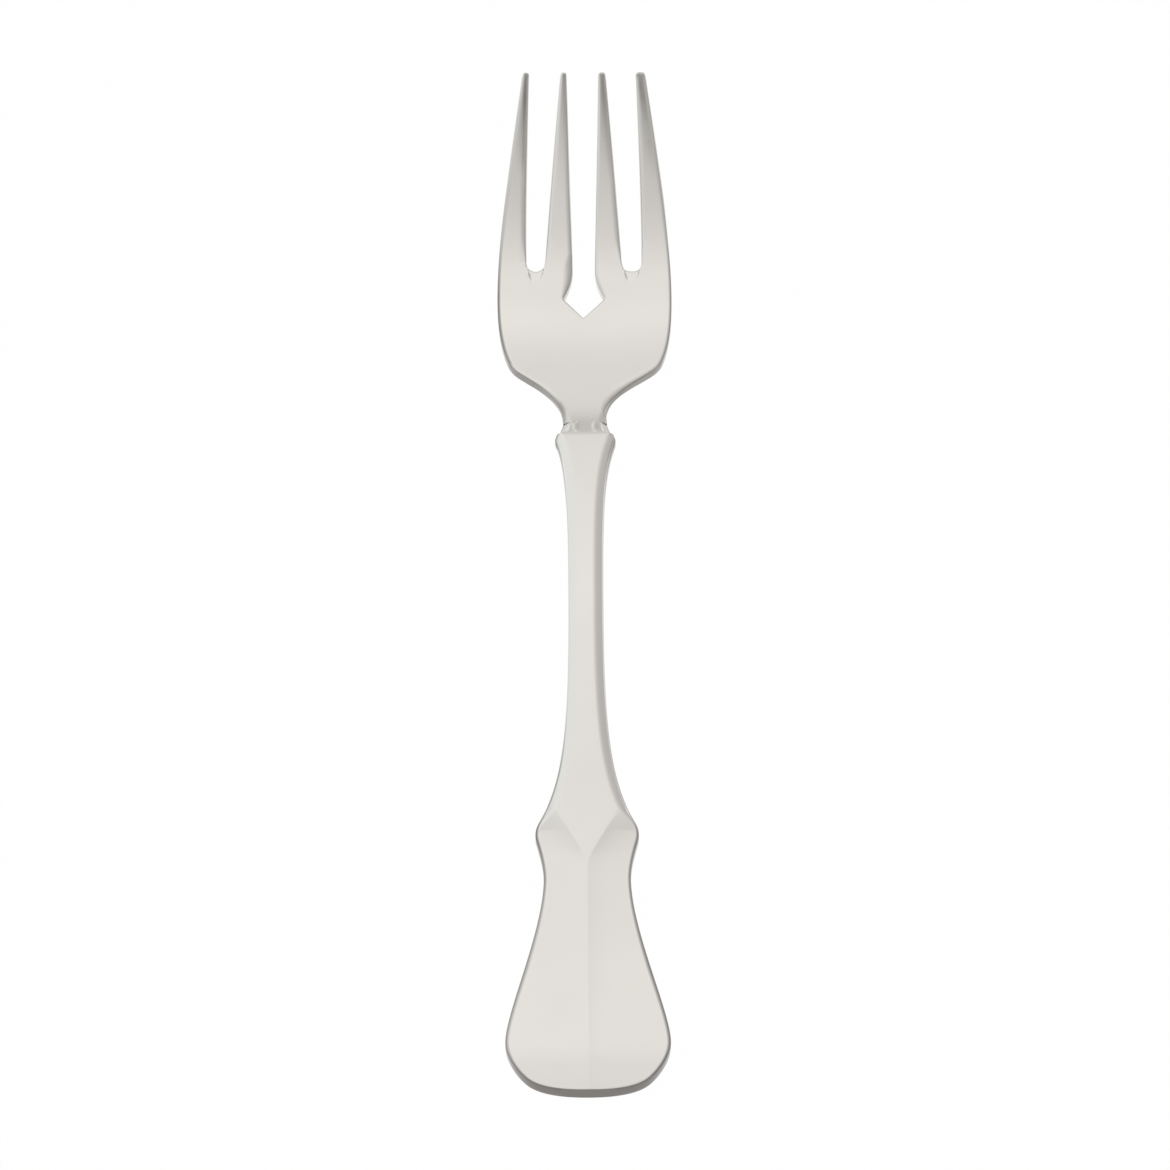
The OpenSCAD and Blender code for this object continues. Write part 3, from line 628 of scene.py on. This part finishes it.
def makeHead(s):
    path, shades, rightEdges = headOutline(s, 1)
    leftPath, leftShades, leftEdges = headOutline(s, -1)
    path += [(-x, u, r) for x, u, r in reversed(leftPath[:-1])]
    shades += reversed(leftShades[:-1])
    normals = inward(path, first=(-1, 0), last=(1, 0))
    turns = quarterTurn(s["edgeSteps"])
    rootU = seamAt + s["rootAt"]
    rootR = min(s["left"]["slotWide"], s["right"]["slotWide"]) / 2
    scoopStart, scoopEnd = rootU - s["scoopLong"], rootU + rootR / 2
    bevelEnd = seamAt + s["bevelEndAt"]
    thick = [(seamAt, forkProfile["neckThick"], -forkProfile["neckTaper"]),
             (seamAt + s["neckThinAt"], s["neckThin"], 0), (seamAt + s["cornerAt"], s["shoulderThick"], 0),
             (rootU, s["bladeThick"], 0), (tipAt, s["tipThick"], 0)]

    def edgeAt(name, side, u):
        return np.interp(u, *(rightEdges if side > 0 else leftEdges)[name])

    def edgeAway(x, u):
        return edgeAt("outer", x, u) - abs(x)

    def scoopHalf(u):
        narrow, broad = s["scoopWide"]
        return rootR * (narrow + (broad - narrow) * share(u, scoopStart, scoopEnd))

    def scoop(x, u):  # share of the chute's depth, and how near its sides are, which sets the painted crease shade
        if u > rootU + rootR:
            return 0.0, 0.0
        away = abs(abs(x) - halfOf(s, x)["slotX"]) - scoopHalf(u)
        fall = share(u, scoopStart, scoopEnd)
        floor = fall**s["scoopPower"] * (1 - smoothShare(away, -s["scoopSoft"], s["scoopSoft"]))
        return floor, fall**s["scoopSidePower"] * max(0.0, 1 - abs(away) / s["scoopSoft"])

    def topHeight(x, u):
        z = underside(u) + along(thick, u) - s["scoopDeep"] * scoop(x, u)[0]
        if u < bevelEnd:
            fade = 1 - share(u, seamAt, bevelEnd)
            bevel = hinge(forkProfile["bevelWide"] * fade - edgeAway(x, u), s["creaseSoft"] * fade)
            z -= forkProfile["bevelSlope"] * fade * bevel
        return z

    def tineAt(x, u):  # 0 to 3 from the left
        inner = (-edgeAt("near", -1, u) - s["tineGap"], 0, edgeAt("near", 1, u) + s["tineGap"])
        return sum(x > start for start in inner)

    # painted dark reflection running along each tine
    def reflectionStreak(x, u):
        if u < rootU + rootR:
            return 0.0
        tine = tineAt(x, u)
        rightEdge = (-edgeAt("far", -1, u), -edgeAt("mid", -1, u), edgeAt("near", 1, u),
                     edgeAt("outer", 1, u))[tine]
        at, left, right, amounts = s["reflectionStreaks"][tine]
        off = rightEdge - x - at
        return lookUp(amounts, u - seamAt) * math.exp(-(off / (left if off > 0 else right))**2)

    def neckDarkening(x, u):
        if x >= 0 or u >= bevelEnd:
            return 0.0
        fullAt, fullAway = s["neckDarkFull"]
        near = share(edgeAway(x, u), forkProfile["bevelWide"], fullAway)
        return s["neckDarkAmount"] * share(u, bevelEnd, seamAt + fullAt) * near

    def clear(points, x, u, gap):
        return np.hypot(points[:, 0] - x, points[:, 1] - u).min() > gap

    def insideSpots(border):  # rows along the sides of the chutes, then a grid
        spots = []
        for u in spaced(scoopStart, scoopEnd, s["scoopRows"]):
            for mid in (-s["left"]["slotX"], s["right"]["slotX"]):
                for side, off in ((i, j) for i in (-1, 1) for j in (-1, 0, 1)):
                    x = mid + side * scoopHalf(u) + off * s["scoopSoft"]
                    if clear(border, x, u, s["scoopClear"]):
                        spots.append((x, u))
        sides = np.array(spots)
        xMost, uMost = border.max(axis=0)
        u = seamAt + s["fineStep"]
        while u < uMost:
            fine = u < bevelEnd or scoopStart - s["fineMargin"] < u < rootU + rootR
            step = s["fineStep"] if fine else s["fillStep"]
            for i in range(int(xMost / step) + 1):
                for x in {i * step, -i * step}:  # a set has the middle only once
                    if clear(sides, x, u, s["sideClear"]) and clear(border, x, u, s["edgeClear"] * step):
                        spots.append((x, u))
            u += step
        return spots

    flat, drops, edgeTones, rings = [], [], [], []  # plan points, with depth down the edge and painted edge shade
    for a in turns:
        rings.append(list(range(len(flat), len(flat) + len(path))))
        for (x, u, r), n, (shade, inSlot) in zip(path, normals, shades):
            fade = s["leftFade"] if n.x > 0 else lookUp(s["rightFade"], u - seamAt)
            if inSlot and n.x > 0:
                fade = s["slotFade"]
                shade *= s["slotPale"]
            if u < rootU:
                facing = n.normalized()
                r = rimWidth(facing, r, halfOf(s, x)["endRim"])
                fade += (halfOf(s, x)["endFade"] - fade) * smoothShare(facing.y, *s["endTurn"])
            atRoot, atTip = s["edgeDeep"]
            deep = r * (atRoot + (atTip - atRoot) * share(u, rootU, tipAt))
            deep = min(s["edgeDeepMost"] * along(thick, min(u, tipAt)), deep)
            d = r * (1 - math.cos(a))
            flat.append((x + n.x * d, u + n.y * d))
            drops.append(deep * (1 - math.sin(a)))
            # painted shade, strongest where the edge turns steep
            edgeTones.append(shade * max(0.0, math.cos(a))**fade)
    seamHalf = flat[rings[-1][0]][0]
    seamRow = list(range(len(flat), len(flat) + s["seamPoints"] - 1))
    flat += [(x, seamAt) for x in spaced(-seamHalf, seamHalf, s["seamPoints"])[1:-1]]
    inner = rings[-1] + seamRow
    filled = fillInside(flat, inner, insideSpots(np.array([flat[i] for i in inner])))
    drops += [0.0] * (len(flat) - len(drops))

    top, back, tones, backTones = [], [], [], []
    for i, (x, u) in enumerate(flat):
        onEdge = i < len(edgeTones)
        # painted shade: edges, crease lines, reflection streaks and the neck's darker patch
        paintedDark = max(neckDarkening(x, u), reflectionStreak(x, u),
                   edgeTones[i] if onEdge else s["scoopShadePaint"] * scoop(x, u)[1])
        # painted shade on each tine toward its tip
        tineDark = s["tineShading"][tineAt(x, u)] * smoothShare(u - seamAt, *s["tineShadingFrom"])
        top.append((x, u, topHeight(x, u) - drops[i]))
        tones.append(tineDark + (1 - tineDark) * paintedDark)
        back.append((x, u, underside(u) + drops[i]))
        backTones.append(edgeTones[i] if onEdge else 0.0)
    faces = shellFaces(filled, rings, seamRow, len(flat))
    return makeObject("forkHead", top + back, faces, tones + backTones)


handleBody = makeHandle(handleShape)
print("handle made:", len(handleBody.data.polygons), "faces")
forkHead = makeHead(headShape)
print("head made:", len(forkHead.data.polygons), "faces")

for piece, solid in ((handleBody, "handle"), (forkHead, "fork_head")):
    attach(piece, "root")
    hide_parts(solid)


def node(tree, kind, **values):
    made = tree.nodes.new(kind)
    for name, value in values.items():
        setattr(made, name, value)
    return made


# fine wear that the silver and the solder share: polishing lines along the fork, and clouds
wearLook = {"stretch": (1.0, 0.03, 1.0), "lineDetail": 3.0, "cloudDetail": 4.0, "lineShare": 0.35,
            "low": 0.4, "high": 0.95}
wearInputs = ("lineScale", "cloudScale", "roughLow", "roughHigh")


def wearGroup(w):
    tree = bpy.data.node_groups.new("polishWear", "ShaderNodeTree")
    for name in wearInputs:
        tree.interface.new_socket(name, in_out="INPUT", socket_type="NodeSocketFloat")
    for name in ("rough", "height", "cloud"):
        tree.interface.new_socket(name, in_out="OUTPUT", socket_type="NodeSocketFloat")
    link = tree.links.new
    into, out = node(tree, "NodeGroupInput"), node(tree, "NodeGroupOutput")
    place = node(tree, "ShaderNodeTexCoord")
    stretch = node(tree, "ShaderNodeMapping")
    stretch.inputs["Scale"].default_value = w["stretch"]
    link(place.outputs["Object"], stretch.inputs["Vector"])
    lines = node(tree, "ShaderNodeTexNoise")
    lines.inputs["Detail"].default_value = w["lineDetail"]
    link(stretch.outputs["Vector"], lines.inputs["Vector"])
    link(into.outputs["lineScale"], lines.inputs["Scale"])
    clouds = node(tree, "ShaderNodeTexNoise")
    clouds.inputs["Detail"].default_value = w["cloudDetail"]
    link(place.outputs["Object"], clouds.inputs["Vector"])
    link(into.outputs["cloudScale"], clouds.inputs["Scale"])
    both = node(tree, "ShaderNodeMath", operation="MULTIPLY_ADD")
    both.inputs[1].default_value = w["lineShare"]
    link(lines.outputs["Fac"], both.inputs[0])
    link(clouds.outputs["Fac"], both.inputs[2])
    ramp = node(tree, "ShaderNodeMapRange")
    ramp.inputs["From Min"].default_value = w["low"]
    ramp.inputs["From Max"].default_value = w["high"]
    link(both.outputs[0], ramp.inputs["Value"])
    link(into.outputs["roughLow"], ramp.inputs["To Min"])
    link(into.outputs["roughHigh"], ramp.inputs["To Max"])
    link(ramp.outputs["Result"], out.inputs["rough"])
    link(lines.outputs["Fac"], out.inputs["height"])
    link(clouds.outputs["Fac"], out.inputs["cloud"])
    return tree


polishWear = wearGroup(wearLook)


def metalMaterial(name, f):
    mat = bpy.data.materials.new(name)
    mat.use_nodes = True
    tree = mat.node_tree
    link = tree.links.new
    shader = tree.nodes["Principled BSDF"]
    shader.inputs["Metallic"].default_value = 1.0
    wear = node(tree, "ShaderNodeGroup", node_tree=polishWear)
    for key in wearInputs:
        wear.inputs[key].default_value = f[key]
    tint = node(tree, "ShaderNodeMix", data_type="RGBA")
    tint.inputs[6].default_value = f["color"]
    tint.inputs[7].default_value = f["shade"]
    link(wear.outputs["cloud"], tint.inputs[0])
    link(tint.outputs[2], shader.inputs["Base Color"])
    link(wear.outputs["rough"], shader.inputs["Roughness"])
    bump = node(tree, "ShaderNodeBump")
    bump.inputs["Strength"].default_value = f["bump"]
    bump.inputs["Distance"].default_value = f["bumpDeep"]
    link(wear.outputs["height"], bump.inputs["Height"])
    link(bump.outputs["Normal"], shader.inputs["Normal"])
    return mat


silverFinish = {
    "color": (0.9, 0.876, 0.834, 1), "shade": (0.87, 0.85, 0.812, 1),
    # colour of the painted shade on edges and tines
    "paintedShadeColor": (0.155, 0.141, 0.13, 1),
    "lineScale": 5200.0, "cloudScale": 90.0, "roughLow": 0.13, "roughHigh": 0.19,
    "bump": 0.004, "bumpDeep": 0.00002,
}


def silverMaterial(name, f):  # darkened where the shade attribute says: painted shade and painted dark reflections on the edges and tines
    mat = metalMaterial(name, f)
    tree = mat.node_tree
    link = tree.links.new
    base = tree.nodes["Principled BSDF"].inputs["Base Color"]
    side = node(tree, "ShaderNodeAttribute", attribute_name="paintedEdgeShade")
    dark = node(tree, "ShaderNodeMix", data_type="RGBA")
    dark.inputs[7].default_value = f["paintedShadeColor"]
    link(side.outputs["Fac"], dark.inputs[0])
    link(base.links[0].from_socket, dark.inputs[6])
    link(dark.outputs[2], base)
    return mat


silver = silverMaterial("polishedSilver", silverFinish)
for piece in (handleBody, forkHead):
    piece.data.materials.append(silver)

solderFinish = {
    "color": (0.74, 0.72, 0.68, 1), "shade": (0.6, 0.57, 0.52, 1),
    "lineScale": 2600.0, "cloudScale": 400.0, "roughLow": 0.4, "roughHigh": 0.6,
    "bump": 0.2, "bumpDeep": 0.00005,
}
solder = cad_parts["solder_film"]
solder.data.materials.clear()
solder.data.materials.append(metalMaterial("plainSolder", solderFinish))
print("finishes set")

# table top, pale, with the fork's shadow on it
tableLook = {"size": 6.0, "below": 0.0002, "color": (0.9, 0.9, 0.9, 1), "rough": 0.9, "glow": 0.992}


def makeTable(t):
    bpy.ops.mesh.primitive_plane_add(size=t["size"], location=(0, 0, cadBox[0][2] - t["below"]))
    table = bpy.context.object
    table.name = "tableTop"
    mat = bpy.data.materials.new("paleTable")
    mat.use_nodes = True
    tree = mat.node_tree
    link = tree.links.new
    shader = tree.nodes["Principled BSDF"]
    shader.inputs["Base Color"].default_value = t["color"]
    shader.inputs["Roughness"].default_value = t["rough"]
    glow = node(tree, "ShaderNodeEmission")
    rays = node(tree, "ShaderNodeLightPath")
    seen = node(tree, "ShaderNodeMath", operation="MAXIMUM")
    link(rays.outputs["Is Camera Ray"], seen.inputs[0])
    link(rays.outputs["Is Glossy Ray"], seen.inputs[1])
    clear = node(tree, "ShaderNodeMath", operation="MAXIMUM")
    link(seen.outputs[0], clear.inputs[0])
    link(rays.outputs["Is Transmission Ray"], clear.inputs[1])
    amount = node(tree, "ShaderNodeMath", operation="MULTIPLY")
    amount.inputs[1].default_value = t["glow"]
    link(clear.outputs[0], amount.inputs[0])
    mix = node(tree, "ShaderNodeMixShader")
    link(amount.outputs[0], mix.inputs[0])
    link(shader.outputs[0], mix.inputs[1])
    link(glow.outputs[0], mix.inputs[2])
    link(mix.outputs[0], tree.nodes["Material Output"].inputs["Surface"])
    table.data.materials.append(mat)


makeTable(tableLook)
print("table set")

# soft studio: how bright the room is from front to back and from left to right
studioLook = {
    "tint": ((-1, (0.945, 0.97, 0.975)), (-0.3, (0.98, 0.985, 0.98)), (0, (1.0, 0.99, 0.98)),
             (1, (1.0, 0.985, 0.97))),
    "depth": ((-1, 0.42), (-0.55, 0.34), (-0.4, 0.35), (-0.31, 0.445), (-0.13, 0.662), (0, 0.712),
              (0.1, 0.745), (0.15, 0.81), (0.2, 0.875), (0.3, 0.855), (0.46, 0.89), (0.55, 0.88),
              (0.62, 0.85), (0.68, 0.81), (0.78, 0.755), (0.86, 0.68), (0.95, 0.6), (1, 0.57)),
    "width": ((-1, 1.0), (0.03, 1.0), (0.07, 0.98), (0.11, 0.95), (0.2, 0.87), (0.5, 0.72), (0.83, 0.6),
              (1, 0.6)),
    # brighter areas: direction, cosine at the rim and at the full amount, amount
    "areas": (((-0.7, -0.6, 0.4), 0.5, 0.95, 0.15),
              ((0.65, -0.4, 0.65), 0.8, 0.97, 0.12),
              ((-0.38, 0.92, 0.1), 0.955, 0.985, 0.2)),
}


def makeStudio(s):
    world = bpy.data.worlds.new("softStudio")
    bpy.context.scene.world = world
    world.use_nodes = True
    tree = world.node_tree
    link = tree.links.new
    sky = tree.nodes["Background"]
    place = node(tree, "ShaderNodeTexCoord")
    split = node(tree, "ShaderNodeSeparateXYZ")
    link(place.outputs["Generated"], split.inputs[0])
    bright = node(tree, "ShaderNodeMath", operation="MULTIPLY")

    def spread(axis, stops, into):
        part = node(tree, "ShaderNodeMapRange")
        part.inputs["From Min"].default_value = -1.0
        link(split.outputs[axis], part.inputs["Value"])
        ramp = node(tree, "ShaderNodeValToRGB")
        ramp.color_ramp.interpolation = "CARDINAL"
        while len(ramp.color_ramp.elements) < len(stops):
            ramp.color_ramp.elements.new(0.5)
        for stop, (at, level) in zip(ramp.color_ramp.elements, stops):
            stop.position = (at + 1) / 2
            stop.color = (*level, 1) if isinstance(level, tuple) else (level, level, level, 1)
        link(part.outputs["Result"], ramp.inputs["Fac"])
        link(ramp.outputs["Color"], into)

    spread("Y", s["depth"], bright.inputs[0])
    spread("X", s["width"], bright.inputs[1])
    spread("X", s["tint"], sky.inputs["Color"])
    total = bright
    for toward, rim, full, amount in s["areas"]:
        near = node(tree, "ShaderNodeVectorMath", operation="DOT_PRODUCT")
        near.inputs[1].default_value = Vector(toward).normalized()
        link(place.outputs["Generated"], near.inputs[0])
        area = node(tree, "ShaderNodeMapRange", interpolation_type="SMOOTHSTEP")
        area.inputs["From Min"].default_value = rim
        area.inputs["From Max"].default_value = full
        area.inputs["To Max"].default_value = amount
        link(near.outputs["Value"], area.inputs["Value"])
        added = node(tree, "ShaderNodeMath", operation="ADD")
        link(total.outputs[0], added.inputs[0])
        link(area.outputs["Result"], added.inputs[1])
        total = added
    link(total.outputs[0], sky.inputs["Strength"])


makeStudio(studioLook)
print("studio set")

cameraView = {
    "elevation": 62.0, "distance": 1.2, "lens": 222.2, "roll": -0.28,
    "aim": (-0.00015, -0.0014, 0.0041),
}


def makeCamera(c):
    data = bpy.data.cameras.new("photoView")
    data.lens = c["lens"]
    camera = bpy.data.objects.new("photoView", data)
    bpy.context.scene.collection.objects.link(camera)
    tilt = math.radians(c["elevation"])
    away = Vector((0, -math.cos(tilt), math.sin(tilt)))
    turn = away.to_track_quat("Z", "Y").to_matrix() @ Matrix.Rotation(math.radians(c["roll"]), 3, "Z")
    camera.matrix_world = Matrix.Translation(Vector(c["aim"]) + away * c["distance"]) @ turn.to_4x4()
    bpy.context.scene.camera = camera


makeCamera(cameraView)
bpy.context.scene.view_settings.view_transform = "Standard"
print("camera set")

bpy.context.view_layer.update()
